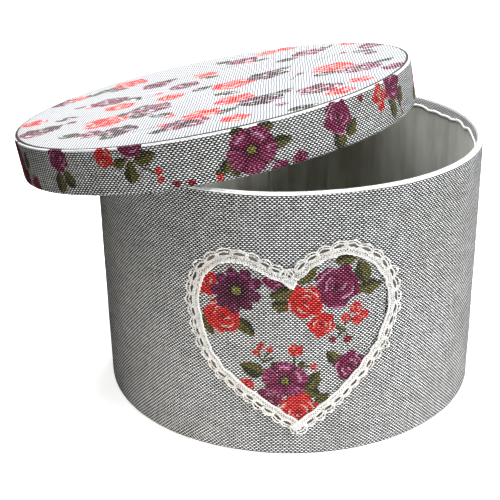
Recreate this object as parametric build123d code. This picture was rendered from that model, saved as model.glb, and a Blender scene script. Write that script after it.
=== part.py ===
from build123d import *
import math
import os

# A round, cloth-covered hat box with a shallow padded lid set askew on its rim.
# Millimetres.  Origin: box axis at the underside.  +Z up, -Y the side with the heart.

# Driving dimensions
BOX_RADIUS = 120.0
BOX_HEIGHT = 161.5
LID_RADIUS = 126.4
LID_HEIGHT = 26.7
BOARD = 2.8
CLOTH = 0.6
LINING = 0.4
WADDING = 4.0
EDGE_ROUND = 0.8

# Underside of the box
BASE_COVER = 0.5
BASE_COVER_RADIUS = BOX_RADIUS - 7.0
UNDER_HEM = 15.0
FLOOR_BOARD = 2.5
FLOOR_CARD = 1.5
FLOOR_CARD_GAP = 0.3

# Hems and linings of the wall and of the lid's skirt
WALL_HEM = 12.0
WALL_LINING_DROP = 5.5
SKIRT_HEM = 12.0
SKIRT_LINING_DROP = 3.5
RIM_STRIP_DROP = 1.0

# Paper tape over the butt joint of each bent board
TAPE = 0.2
TAPE_WIDTH = 24.0
TAPE_END_GAP = 0.3

# How the lid lies: its shift off the box axis, the bearing of that shift from +X,
# and the air left between the two bodies
LID_SHIFT = 46.4
LID_BEARING = 162.7
LID_AIR = 0.35

# Heart on the wall: girth along the wall from the front, and height above the underside.
# The outline is the lace's inner edge.
HEART_NOTCH = (1.5, 108.0)
HEART_TIP = (5.3, 24.0)
HEART_LEFT = [(-12, 115), (-33, 121), (-47.5, 108), (-48.5, 83), (-39.5, 60), (-20.5, 43)]
HEART_RIGHT = [(13, 119), (31, 125.5), (50, 114), (56.5, 93), (48.5, 69), (27.5, 42.5)]
LACE_WIDTH = 8.5
LACE_THICKNESS = 1.3
PATCH_UNDER_LACE = 3.0
PATCH = 0.5
LEFT_LACE_JOIN = 82.0
RIGHT_LACE_JOIN = 87.0
GROWN_STEPS = 12

# Derived places on the box
HEM_TOP = BASE_COVER + CLOTH
FLOOR_TOP = HEM_TOP + FLOOR_BOARD
WALL_BOARD_OUTER = BOX_RADIUS - CLOTH
WALL_BOARD_INNER = WALL_BOARD_OUTER - BOARD
WALL_HEM_INNER = WALL_BOARD_INNER - CLOTH
WALL_LINING_INNER = WALL_HEM_INNER - LINING
FLOOR_CARD_RADIUS = WALL_LINING_INNER - FLOOR_CARD_GAP - LINING
FLOOR_CARD_TOP = FLOOR_TOP + FLOOR_CARD

# Derived places on the lid, from the skirt's lower edge up
SKIRT_BOARD_OUTER = LID_RADIUS - CLOTH
SKIRT_BOARD_INNER = SKIRT_BOARD_OUTER - BOARD
SKIRT_HEM_INNER = SKIRT_BOARD_INNER - CLOTH
SKIRT_LINING_INNER = SKIRT_HEM_INNER - LINING
LID_BOARD_TOP = LID_HEIGHT - CLOTH
LID_BOARD_LOW = LID_BOARD_TOP - BOARD
LID_BOARD_RADIUS = SKIRT_BOARD_OUTER - CLOTH
WADDING_LOW = LID_BOARD_LOW - WADDING
UNDERSIDE = WADDING_LOW - LINING


def ring(inner, outer, low, high):
    """A plain tube about Z."""
    height = high - low
    seat = (Align.CENTER, Align.CENTER, Align.MIN)
    tube = Cylinder(outer, height, align=seat) - Cylinder(inner, height, align=seat)
    return Pos(0, 0, low) * tube


def disc(radius, low, high):
    """A plain disc about Z."""
    seat = (Align.CENTER, Align.CENTER, Align.MIN)
    return Pos(0, 0, low) * Cylinder(radius, high - low, align=seat)


def turned(profile, rounded):
    """A closed outline of (radius, height) points turned about Z, some corners rounded."""
    face = make_face(Plane.XZ * Polyline(*profile, close=True))
    corners = [
        corner
        for corner in face.vertices()
        if any(abs(corner.X - r) + abs(corner.Z - z) < 0.01 for r, z in rounded)
    ]
    face = fillet(corners, EDGE_ROUND)
    return revolve(face, Axis.Z)


def tape(inner, low, high, bearing):
    """A strip of paper along a wall's inside, at a bearing in degrees from +X."""
    strip = ring(inner - TAPE, inner, low, high)
    reach = Pos(inner, 0, (low + high) / 2) * Box(inner, TAPE_WIDTH, high - low)
    return Rot(0, 0, bearing) * (strip & reach)


# The box

def wall_board():
    return ring(WALL_BOARD_INNER, WALL_BOARD_OUTER, HEM_TOP, BOX_HEIGHT - CLOTH)


def floor_board():
    return disc(WALL_BOARD_INNER, HEM_TOP, FLOOR_TOP)


def wall_seam_tape():
    low = FLOOR_TOP + TAPE_END_GAP
    high = BOX_HEIGHT - WALL_HEM - TAPE_END_GAP
    return tape(WALL_BOARD_INNER, low, high, 90)


def wall_cover():
    """Cloth round the wall, turned over the rim and in, and turned under the floor."""
    under = BOX_RADIUS - UNDER_HEM
    profile = [
        (under, BASE_COVER),
        (BOX_RADIUS, BASE_COVER),
        (BOX_RADIUS, BOX_HEIGHT),
        (WALL_HEM_INNER, BOX_HEIGHT),
        (WALL_HEM_INNER, BOX_HEIGHT - WALL_HEM),
        (WALL_BOARD_INNER, BOX_HEIGHT - WALL_HEM),
        (WALL_BOARD_INNER, BOX_HEIGHT - CLOTH),
        (WALL_BOARD_OUTER, BOX_HEIGHT - CLOTH),
        (WALL_BOARD_OUTER, HEM_TOP),
        (under, HEM_TOP),
    ]
    return turned(profile, profile[1:4])


def base_cover():
    return disc(BASE_COVER_RADIUS, 0, BASE_COVER)


def wall_lining():
    return ring(WALL_LINING_INNER, WALL_HEM_INNER, FLOOR_TOP, BOX_HEIGHT - WALL_LINING_DROP)


def floor_card():
    return disc(FLOOR_CARD_RADIUS, FLOOR_TOP, FLOOR_CARD_TOP)


def floor_lining():
    """Satin over the floor card, turned down round its edge."""
    top = FLOOR_CARD_TOP + LINING
    edge = FLOOR_CARD_RADIUS + LINING
    return disc(edge, FLOOR_TOP, top) - disc(FLOOR_CARD_RADIUS, FLOOR_TOP, FLOOR_CARD_TOP)


# The heart on the wall

def seen_from_front(girth, height):
    """A place on the wall, as it lies on the plane square to -Y."""
    return (BOX_RADIUS * math.sin(girth / BOX_RADIUS), height)


def heart_side(points):
    """One side of the outline, from the notch over its lobe and down to the tip."""
    return Spline(*[seen_from_front(*p) for p in (HEART_NOTCH, *points, HEART_TIP)])


def heart_face():
    return make_face([heart_side(HEART_LEFT), heart_side(HEART_RIGHT)])


def grown_half(points, side, amount):
    """Half of the heart (-1 left, +1 right) with its outline moved out by an amount."""
    inner = heart_side(points)
    outer = []
    for step in range(GROWN_STEPS + 1):
        along = inner % (step / GROWN_STEPS)
        outward = Vector(-along.Y, along.X) * side
        outer.append(inner @ (step / GROWN_STEPS) + outward * amount)
    closing = Polyline(outer[-1], inner @ 1, inner @ 0, outer[0])
    return make_face([Spline(*outer), *closing.edges()])


def grown_heart(amount):
    """The heart with its outline moved out by an amount, its tip rounded."""
    tip = Pos(*seen_from_front(*HEART_TIP)) * Circle(amount)
    left = grown_half(HEART_LEFT, -1, amount)
    right = grown_half(HEART_RIGHT, 1, amount)
    return left + right + tip


def on_wall(face, thickness):
    """A flat shape carried straight back onto the wall, as a skin of that thickness."""
    blank = extrude(Plane.XZ * face, amount=BOX_RADIUS + 2 * thickness, dir=(0, -1, 0))
    return blank & ring(BOX_RADIUS, BOX_RADIUS + thickness, 0, BOX_HEIGHT)


def heart_patch():
    return on_wall(grown_heart(PATCH_UNDER_LACE), PATCH)


def lace_band():
    """The whole lace border, lying half on the patch and half on the wall's cloth."""
    band = grown_heart(LACE_WIDTH) - heart_face()
    return on_wall(band, LACE_THICKNESS) - heart_patch()


def lace_piece(side, low, high):
    """The stretch of the border on one side (-1 left, +1 right) between two heights."""
    middle = HEART_TIP[0] if low == 0 else HEART_NOTCH[0]
    block = Box(2 * BOX_RADIUS, 2 * BOX_RADIUS, high - low)
    place = Pos(middle + side * BOX_RADIUS, -BOX_RADIUS, (low + high) / 2)
    return lace_band() & (place * block)


# The lid, modelled level with its skirt's lower edge at height 0

def lid_board():
    return disc(LID_BOARD_RADIUS, LID_BOARD_LOW, LID_BOARD_TOP)


def lid_rim_board():
    return ring(SKIRT_BOARD_INNER, SKIRT_BOARD_OUTER, CLOTH, LID_BOARD_LOW)


def lid_seam_tape():
    return tape(SKIRT_BOARD_INNER, SKIRT_HEM + TAPE_END_GAP, UNDERSIDE - TAPE_END_GAP, 180)


def lid_padding():
    return disc(SKIRT_BOARD_INNER, WADDING_LOW, LID_BOARD_LOW)


def lid_top_cover():
    """Printed cloth over the top board, turned down round its edge."""
    profile = [
        (0, LID_BOARD_TOP),
        (LID_BOARD_RADIUS, LID_BOARD_TOP),
        (LID_BOARD_RADIUS, LID_BOARD_LOW),
        (SKIRT_BOARD_OUTER, LID_BOARD_LOW),
        (SKIRT_BOARD_OUTER, LID_HEIGHT),
        (0, LID_HEIGHT),
    ]
    return turned(profile, profile[4:5])


def lid_rim_cover():
    """Printed cloth round the skirt, turned in under its lower edge."""
    top = LID_HEIGHT - RIM_STRIP_DROP
    profile = [
        (SKIRT_HEM_INNER, 0),
        (LID_RADIUS, 0),
        (LID_RADIUS, top),
        (SKIRT_BOARD_OUTER, top),
        (SKIRT_BOARD_OUTER, CLOTH),
        (SKIRT_BOARD_INNER, CLOTH),
        (SKIRT_BOARD_INNER, SKIRT_HEM),
        (SKIRT_HEM_INNER, SKIRT_HEM),
    ]
    return turned(profile, profile[0:2])


def lid_lining():
    return disc(SKIRT_BOARD_INNER, UNDERSIDE, WADDING_LOW)


def lid_rim_lining():
    return ring(SKIRT_LINING_INNER, SKIRT_HEM_INNER, SKIRT_LINING_DROP, UNDERSIDE)


# How the lid lies on the rim

def crossing(tilt):
    """How far behind the box axis the skirt's lower edge crosses the rim, at that tilt."""
    secant_squared = 1 / math.cos(tilt) ** 2
    half = LID_SHIFT * secant_squared
    spare = SKIRT_HEM_INNER**2 - BOX_RADIUS**2 - LID_SHIFT**2 * secant_squared
    return spare / (half + math.sqrt(half**2 + math.tan(tilt) ** 2 * spare))


def skirt_centre_height(tilt):
    """The height of the middle of the skirt's lower edge when that edge lies on the rim."""
    return BOX_HEIGHT - (crossing(tilt) + LID_SHIFT) * math.tan(tilt)


def underside_gap(tilt):
    """The air between the lid's underside and the rim where the lid is lowest."""
    outward = (BOX_RADIUS - LID_SHIFT) * math.sin(tilt)
    upward = (BOX_HEIGHT - skirt_centre_height(tilt)) * math.cos(tilt)
    return UNDERSIDE - outward - upward


def resting_tilt():
    """The tilt at which the skirt and the underside both touch the rim."""
    flat = math.radians(2)
    steep = math.radians(30)
    while steep - flat > 1e-9:
        middle = (flat + steep) / 2
        if underside_gap(middle) > 0:
            flat = middle
        else:
            steep = middle
    return flat


def lid_place():
    """Where the level lid goes: shifted, tilted down the same way, and resting."""
    tilt = resting_tilt()
    bearing = math.radians(LID_BEARING)
    outward = Vector(math.cos(bearing), math.sin(bearing), 0)
    centre = outward * LID_SHIFT + Vector(0, 0, skirt_centre_height(tilt) + LID_AIR)
    down_slope = outward * math.cos(tilt) - Vector(0, 0, math.sin(tilt))
    axis = outward * math.sin(tilt) + Vector(0, 0, math.cos(tilt))
    print(f"lid tilt {math.degrees(tilt):.3f} degrees")
    print(f"skirt centre {tuple(round(v, 3) for v in centre)}")
    return Plane(origin=centre, x_dir=down_slope, z_dir=axis).location


BOX_NODES = {
    "wall_board": wall_board(),
    "floor_board": floor_board(),
    "wall_seam_tape": wall_seam_tape(),
    "wall_cover": wall_cover(),
    "base_cover": base_cover(),
    "wall_lining": wall_lining(),
    "floor_card": floor_card(),
    "floor_lining": floor_lining(),
    "heart_patch": heart_patch(),
    "lace_left_lobe": lace_piece(-1, LEFT_LACE_JOIN, BOX_HEIGHT),
    "lace_right_lobe": lace_piece(1, RIGHT_LACE_JOIN, BOX_HEIGHT),
    "lace_left_side": lace_piece(-1, 0, LEFT_LACE_JOIN),
    "lace_right_side": lace_piece(1, 0, RIGHT_LACE_JOIN),
}

LID_NODES = {
    "lid_board": lid_board(),
    "lid_rim_board": lid_rim_board(),
    "lid_seam_tape": lid_seam_tape(),
    "lid_padding": lid_padding(),
    "lid_top_cover": lid_top_cover(),
    "lid_rim_cover": lid_rim_cover(),
    "lid_lining": lid_lining(),
    "lid_rim_lining": lid_rim_lining(),
}

os.makedirs("parts", exist_ok=True)
for name, shape in BOX_NODES.items():
    export_step(shape, f"parts/{name}.step")
askew = lid_place()
for name, shape in LID_NODES.items():
    export_step(askew * shape, f"parts/{name}.step")
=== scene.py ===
import math

import bmesh
import bpy
import numpy as np
from mathutils import Matrix, Vector


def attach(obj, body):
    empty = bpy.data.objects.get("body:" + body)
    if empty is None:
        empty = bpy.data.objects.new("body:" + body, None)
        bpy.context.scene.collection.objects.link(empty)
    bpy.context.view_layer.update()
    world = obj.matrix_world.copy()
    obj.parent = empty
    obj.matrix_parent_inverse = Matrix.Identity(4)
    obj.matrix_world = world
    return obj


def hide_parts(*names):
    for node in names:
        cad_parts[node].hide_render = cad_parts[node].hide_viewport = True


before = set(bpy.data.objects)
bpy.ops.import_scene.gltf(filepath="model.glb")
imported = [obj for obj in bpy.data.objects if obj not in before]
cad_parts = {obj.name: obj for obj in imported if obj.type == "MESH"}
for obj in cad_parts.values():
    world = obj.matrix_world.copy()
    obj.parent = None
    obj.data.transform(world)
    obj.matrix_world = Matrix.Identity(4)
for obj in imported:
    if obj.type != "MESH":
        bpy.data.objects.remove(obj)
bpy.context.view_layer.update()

# The pieces are worked out in millimetres, and turned into metres as they are made.
# The studio is in metres.
MM = 0.001
CLOTH_MAP = "cloth"
# How many points bend a rounded corner.
ROUND_STEPS = 6


# ---------------------------------------------------------------- places from the frame

def node_points(node):
    """A CAD node's vertices, in millimetres."""
    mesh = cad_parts[node].data
    flat = np.empty(3 * len(mesh.vertices))
    mesh.vertices.foreach_get("co", flat)
    return flat.reshape(-1, 3) / MM


def top_face(node):
    """The centre, in millimetres, and the normal of a disc's upper face."""
    up = [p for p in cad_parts[node].data.polygons if p.normal.z > 0.9]
    area = sum(p.area for p in up)
    centre = sum((p.center * p.area for p in up), Vector()) / area / MM
    normal = sum((p.normal * p.area for p in up), Vector()).normalized()
    return np.array(centre), np.array(normal)


class Place:
    """A round thing's own frame: angle 0 is its front, and angles grow to its right."""

    def __init__(self, origin, axis):
        right = np.array((1.0, 0.0, 0.0)) - axis * axis[0]
        self.right = right / np.linalg.norm(right)
        self.axis = axis
        self.back = np.cross(axis, self.right)
        self.origin = origin

    def out(self, angle, radius, height):
        """Points in the row frame, from arrays of angle, radius and height."""
        angle, radius, height = (np.asarray(v)[..., None] for v in (angle, radius, height))
        outward = np.sin(angle) * self.right - np.cos(angle) * self.back
        return self.origin + radius * outward + height * self.axis

    def span(self, node):
        """(least radius, largest radius, lowest, highest) of a CAD node in this frame."""
        offset = node_points(node) - self.origin
        height = offset @ self.axis
        radius = np.linalg.norm(offset - np.outer(height, self.axis), axis=1)
        return radius.min(), radius.max(), height.min(), height.max()


BOX = Place(np.zeros(3), np.array((0.0, 0.0, 1.0)))
board_centre, lid_axis = top_face("lid_board")
skirt_low = Place(board_centre, lid_axis).span("lid_rim_cover")[2]
LID = Place(board_centre + skirt_low * lid_axis, lid_axis)

BOX_RADIUS, WALL_LOW, WALL_HIGH = BOX.span("wall_cover")[1:]
LINING_INNER, WALL_HEM_INNER, LINING_LOW, LINING_HIGH = BOX.span("wall_lining")
CLOTH = BOX_RADIUS - BOX.span("wall_board")[1]
BASE_RADIUS, BASE_LOW, BASE_HIGH = BOX.span("base_cover")[1:]
FLOOR_EDGE, FLOOR_LOW, FLOOR_HIGH = BOX.span("floor_lining")[1:]
SATIN = WALL_HEM_INNER - LINING_INNER
# The thickness of the heart's cloth.
PATCH = 0.5

LID_RADIUS, SKIRT_LOW, STRIP_HIGH = LID.span("lid_rim_cover")[1:]
TOP_RADIUS, TOP_LOW, TOP_HIGH = LID.span("lid_top_cover")[1:]
SKIRT_INNER, SKIRT_HEM_INNER, SKIRT_LINING_LOW, UNDERSIDE = LID.span("lid_rim_lining")
PAD_RADIUS, PAD_LOW, PAD_HIGH = LID.span("lid_padding")[1:]

# How much of each cloth is turned over an edge or lapped, for its flat size.
WALL_HEM = 12.0
UNDER_HEM = 15.0
SKIRT_HEM = 12.0


# ---------------------------------------------------------------- mesh building

def unit(v):
    """The vector of length 1 that points the same way."""
    return v / np.linalg.norm(v)


def ease(value, low, high):
    """0 below low, 1 above high, smooth between."""
    t = np.clip((value - low) / (high - low), 0, 1)
    return t * t * (3 - 2 * t)


def ripples(seed, count, most_round, most_up):
    """A smooth wavy function of angle and height, about -1 to 1, the same every run."""
    draw = np.random.default_rng(seed)
    round_waves = draw.integers(1, most_round + 1, count)
    up_waves = draw.uniform(-most_up, most_up, count)
    phases = draw.uniform(0, 2 * np.pi, count)

    def wave(angle, height):
        parts = [
            np.cos(n * angle + m * height + p)
            for n, m, p in zip(round_waves, up_waves, phases)
        ]
        return sum(parts) / math.sqrt(count)

    return wave


def rounded(corners, closed):
    """A path through (radius, height, rounding) corners, with the rounded ones bent."""
    path = []
    last = len(corners) - 1
    for k, (radius, height, bend) in enumerate(corners):
        here = np.array((radius, height), float)
        if bend == 0 or (not closed and k in (0, last)):
            path.append(here)
            continue
        before = np.array(corners[k - 1][:2], float)
        after = np.array(corners[(k + 1) % len(corners)][:2], float)
        start = here + unit(before - here) * bend
        end = here + unit(after - here) * bend
        for t in np.linspace(0, 1, ROUND_STEPS):
            path.append((1 - t) ** 2 * start + 2 * t * (1 - t) * here + t**2 * end)
    return path


def divided(path, spacing, closed):
    """The path with points put in, so that none are further apart than the spacing."""
    points = []
    ends = path[1:] + (path[:1] if closed else [])
    for a, b in zip(path, ends):
        parts = max(1, math.ceil(np.linalg.norm(b - a) / spacing))
        points += [a + (b - a) * k / parts for k in range(parts)]
    if not closed:
        points.append(path[-1])
    return np.array(points)


def grid_quads(rows, columns, wrap_rows, wrap_columns):
    """Corner indices (row, column) of each quad of a grid, as two arrays."""
    a, b = np.meshgrid(
        np.arange(rows if wrap_rows else rows - 1),
        np.arange(columns if wrap_columns else columns - 1),
        indexing="ij",
    )
    a, b = a.ravel(), b.ravel()
    row = np.stack([a, a + 1, a + 1, a], axis=1)
    column = np.stack([b, b, b + 1, b + 1], axis=1)
    return row, column


def mesh_piece(name, points, quads, uvs, material):
    """A smooth mesh object from points in millimetres, quads and one UV per corner."""
    mesh = bpy.data.meshes.new(name)
    mesh.from_pydata((points * MM).tolist(), [], quads.tolist())
    layer = mesh.uv_layers.new(name=CLOTH_MAP)
    layer.data.foreach_set("uv", np.asarray(uvs, np.float32).ravel())
    shape = bmesh.new()
    shape.from_mesh(mesh)
    bmesh.ops.remove_doubles(shape, verts=shape.verts, dist=1e-6)
    bmesh.ops.dissolve_degenerate(shape, edges=shape.edges, dist=1e-7)
    bmesh.ops.recalc_face_normals(shape, faces=shape.faces)
    for face in shape.faces:
        face.smooth = True
    shape.to_mesh(mesh)
    shape.free()
    mesh.materials.append(material)
    piece = bpy.data.objects.new(name, mesh)
    bpy.context.scene.collection.objects.link(piece)
    return piece


def grid_piece(name, points, uv, wrap_rows, wrap_columns, material):
    """A piece from a grid of points, and a grid of UVs that runs one past each wrap."""
    rows, columns = points.shape[:2]
    row, column = grid_quads(rows, columns, wrap_rows, wrap_columns)
    quads = (row % rows) * columns + column % columns
    return mesh_piece(name, points.reshape(-1, 3), quads, uv[row, column], material)


def turned(name, place, corners, material, closed, steps, spacing, dress=None, disc=False):
    """A piece turned about a place's axis from an outline, with dress pushing it about.

    dress(angle, radius, height) gives the push outward and the push up. The cloth map
    is the girth and the way along the outline, or on a disc the cloth laid flat.
    """
    path = divided(rounded(corners, closed), spacing, closed)
    around = np.vstack([path, path[:1]]) if closed else path
    along = np.concatenate([[0], np.cumsum(np.linalg.norm(np.diff(around, axis=0), axis=1))])
    angle = np.linspace(-np.pi, np.pi, steps, endpoint=False)
    angles, index = np.meshgrid(angle, np.arange(len(path)), indexing="ij")
    radius, height = path[index, 0], path[index, 1]
    if dress:
        outward, upward = dress(angles, radius, height)
        radius, height = np.maximum(radius + outward, 0), height + upward
    points = place.out(angles, radius, height)
    map_angle, map_along = np.meshgrid(
        np.linspace(-np.pi, np.pi, steps + 1), along, indexing="ij"
    )
    if disc:
        uv = np.stack([map_along * np.sin(map_angle), -map_along * np.cos(map_angle)], -1)
    else:
        girth = max(r for r, _, _ in corners)
        uv = np.stack([map_angle * girth, map_along], -1)
    return grid_piece(name, points, uv, True, closed, material)


def tube(path, normal, thickness, sides=6):
    """Rings of points round a thread that follows a path."""
    along = np.gradient(path, axis=0)
    along /= np.linalg.norm(along, axis=1, keepdims=True)
    side = np.cross(along, normal)
    side /= np.linalg.norm(side, axis=1, keepdims=True)
    top = np.cross(side, along)
    turn = np.linspace(0, 2 * np.pi, sides, endpoint=False)
    ring = np.cos(turn)[:, None] * side[:, None] + np.sin(turn)[:, None] * top[:, None]
    return path[:, None] + ring * thickness[:, None, None]


# ---------------------------------------------------------------- node trees

def put(tree, kind, inputs=(), **settings):
    """Adds a node, sets its properties, and links or sets its inputs."""
    node = tree.nodes.new(kind)
    for key, value in settings.items():
        setattr(node, key, value)
    pairs = inputs.items() if isinstance(inputs, dict) else enumerate(inputs)
    for key, value in pairs:
        if isinstance(value, bpy.types.NodeSocket):
            tree.links.new(value, node.inputs[key])
        elif value is not None:
            node.inputs[key].default_value = value
    return node


def calc(tree, operation, *values):
    return put(tree, "ShaderNodeMath", values, operation=operation).outputs[0]


def times(tree, first, second):
    return calc(tree, "MULTIPLY", first, second)


def plus(tree, first, second):
    return calc(tree, "ADD", first, second)


def minus(tree, first, second):
    return calc(tree, "SUBTRACT", first, second)


def times_plus(tree, value, by, more):
    return calc(tree, "MULTIPLY_ADD", value, by, more)


def vector(tree, operation, *values):
    return put(tree, "ShaderNodeVectorMath", values, operation=operation).outputs["Vector"]


def scaled(tree, value, by):
    inputs = {"Vector": value, "Scale": by}
    return put(tree, "ShaderNodeVectorMath", inputs, operation="SCALE").outputs["Vector"]


def fade(tree, value, low, high):
    """0 below low, 1 above high, smooth between."""
    inputs = {"Value": value, "From Min": low, "From Max": high}
    node = put(tree, "ShaderNodeMapRange", inputs, interpolation_type="SMOOTHSTEP")
    return node.outputs["Result"]


def blend(tree, amount, first, second, mode="MIX"):
    """The second colour over the first, by the amount from 0 to 1."""
    node = put(tree, "ShaderNodeMix", data_type="RGBA", blend_type=mode)
    for index, value in ((0, amount), (6, first), (7, second)):
        if isinstance(value, bpy.types.NodeSocket):
            tree.links.new(value, node.inputs[index])
        else:
            node.inputs[index].default_value = value
    return node.outputs[2]


def noise(tree, place, scale, detail=2.0, roughness=0.5):
    inputs = {"Vector": place, "Scale": scale, "Detail": detail, "Roughness": roughness}
    return put(tree, "ShaderNodeTexNoise", inputs).outputs["Fac"]


def paint(red, green, blue):
    """A linear colour from 0-255 screen values."""
    def linear(value):
        value = value / 255
        return value / 12.92 if value <= 0.04045 else ((value + 0.055) / 1.055) ** 2.4
    return (linear(red), linear(green), linear(blue), 1.0)


def new_group(name, inputs, outputs):
    """An empty node group with those sockets, and its input and output nodes."""
    tree = bpy.data.node_groups.new(name, "ShaderNodeTree")
    for way, sockets in (("INPUT", inputs), ("OUTPUT", outputs)):
        for label, kind in sockets:
            tree.interface.new_socket(label, in_out=way, socket_type="NodeSocket" + kind)
    start = tree.nodes.new("NodeGroupInput")
    end = tree.nodes.new("NodeGroupOutput")
    return tree, start.outputs, end.inputs


def new_material(name):
    """A material with a bare Principled shader; gives (material, tree, shader)."""
    material = bpy.data.materials.new(name)
    material.use_nodes = True
    tree = material.node_tree
    shader = tree.nodes["Principled BSDF"]
    return material, tree, shader


def finish_shader(tree, shader, colour, rough, height=None, strength=1.0, depth=0.0):
    """Links a material's colour, its roughness and its bump, which is depth metres high."""
    tree.links.new(colour, shader.inputs["Base Color"])
    tree.links.new(rough, shader.inputs["Roughness"])
    if height is not None:
        bump = {"Strength": strength, "Distance": depth, "Height": height}
        bump = put(tree, "ShaderNodeBump", bump)
        tree.links.new(bump.outputs["Normal"], shader.inputs["Normal"])


def cloth_place(tree):
    """The cloth map, in millimetres."""
    return put(tree, "ShaderNodeUVMap", uv_map=CLOTH_MAP).outputs["UV"]


# ---------------------------------------------------------------- plain weave

# The pitch of the yarns across and up, in millimetres.
YARN = (1.24, 1.14, 1.0)
WHITE = (1, 1, 1, 1)


def weave_group():
    """A plain weave of yarns one unit apart, each passing over and under the next."""
    tree, given, result = new_group(
        "plain_weave",
        [("Place", "Vector")],
        [("Level", "Float"), ("Weft", "Float"), ("Slub", "Float")],
    )
    place = put(tree, "ShaderNodeSeparateXYZ", [given["Place"]]).outputs
    column = calc(tree, "ROUND", place["X"])
    row = calc(tree, "ROUND", place["Y"])
    across = minus(tree, place["X"], column)
    up = minus(tree, place["Y"], row)
    odd = calc(tree, "PINGPONG", plus(tree, column, row), 1.0)
    sign = times_plus(tree, odd, -1.0, 0.5)

    def yarn(run, width, direction):
        """The height of a yarn that waves along its run and is round across its width."""
        wave = calc(tree, "COSINE", times(tree, run, math.pi))
        wave = times(tree, wave, direction)
        drop = calc(tree, "POWER", calc(tree, "ABSOLUTE", width), 2.0)
        return times_plus(tree, drop, -3.6, wave)

    weft = plus(tree, yarn(across, up, sign), 0.12)
    warp = yarn(up, across, times(tree, sign, -1.0))
    highest = calc(tree, "MAXIMUM", weft, warp)
    level = times_plus(tree, highest, 0.72, 0.64)
    # Between the rows the level dips: a dip in the bump, and painted shade too, as the cloth's
    # colour darkens with the level.
    row_dip_and_shade = fade(tree, calc(tree, "ABSOLUTE", up), 0.16, 0.42)
    level = times_plus(tree, row_dip_and_shade, -0.6, level)
    tree.links.new(level, result["Level"])
    tree.links.new(fade(tree, minus(tree, weft, warp), -0.05, 0.05), result["Weft"])
    along_weft = vector(tree, "MULTIPLY", given["Place"], (0.07, 0.9, 1.0))
    along_warp = vector(tree, "MULTIPLY", given["Place"], (0.9, 0.07, 1.0))
    slub = plus(tree, noise(tree, along_weft, 1.0, 1.0), noise(tree, along_warp, 1.0, 1.0))
    tree.links.new(minus(tree, slub, 1.0), result["Slub"])
    return tree


WEAVE = weave_group()
# The weft's own white; the warp's and the gaps' colours are painted shade: the warp yarn as seen in
# shade, and near black between the yarns.
WEFT = paint(253, 253, 253)
SHADED_WARP = paint(72, 78, 83)
GAP_SHADE = paint(7, 8, 10)

# How much darker than its named shade a dye soaks in, as a power of it.
DYE_DEPTH = 1.3
RIBBED_DEPTH = 2.0


def painted_edge_highlight(tree, place, colour, fold):
    """The cloth's colour, painted up to plain white from the height where it turns over: a painted
    highlight on the rounded edge.
    """
    height = put(tree, "ShaderNodeSeparateXYZ", [place]).outputs["Y"]
    fray = times_plus(tree, noise(tree, place, 0.9, 1.0), 0.7, height)
    # Painted highlight: from the turn on, the colour goes over to plain white.
    edge_highlight = times(tree, fade(tree, fray, fold, fold + 0.5), 0.85)
    # Further in, past the rounding, the painted highlight drops back to less than half.
    slack = fade(tree, height, fold + 3.6, fold + 4.8)
    edge_highlight = times(tree, edge_highlight, times_plus(tree, slack, -0.6, 1.0))
    return blend(tree, edge_highlight, colour, paint(250, 251, 252))


def ribbed(tree, place, yarns, colour, bared_and_highlit, ribs):
    """Pale cloth with painted shade between its ribs, and how bare of dye and how highlit each spot
    is.

    The dye misses part of each rib, and whole streaks where the cloth was slack. The paleness is
    painted light, for the lid top that faces the lamps.
    """
    column = put(tree, "ShaderNodeSeparateXYZ", [yarns]).outputs["X"]
    between = calc(tree, "PINGPONG", times(tree, column, 0.75), 0.5)
    rib = times(tree, fade(tree, between, 0.35, 0.42), ribs)
    bared_and_highlit = times_plus(tree, bared_and_highlit, 0.15, rib)
    broad = vector(tree, "MULTIPLY", place, (0.16, 0.42, 1.0))
    streak = fade(tree, noise(tree, broad, 1.0, 1.0), 0.60, 0.64)
    bared_and_highlit = calc(tree, "MAXIMUM", times(tree, streak, 0.8), bared_and_highlit)
    # Painted shade in the valleys between the ribs.
    valley_shade = blend(tree, fade(tree, between, 0.30, 0.10), WHITE, paint(130, 137, 153))
    # Painted light: on the lid top, which faces the lamps, most of the weave's painted shade is
    # washed out to white.
    colour = blend(tree, 0.8, colour, paint(252, 252, 252))
    return blend(tree, 1.0, colour, valley_shade, "MULTIPLY"), bared_and_highlit


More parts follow.
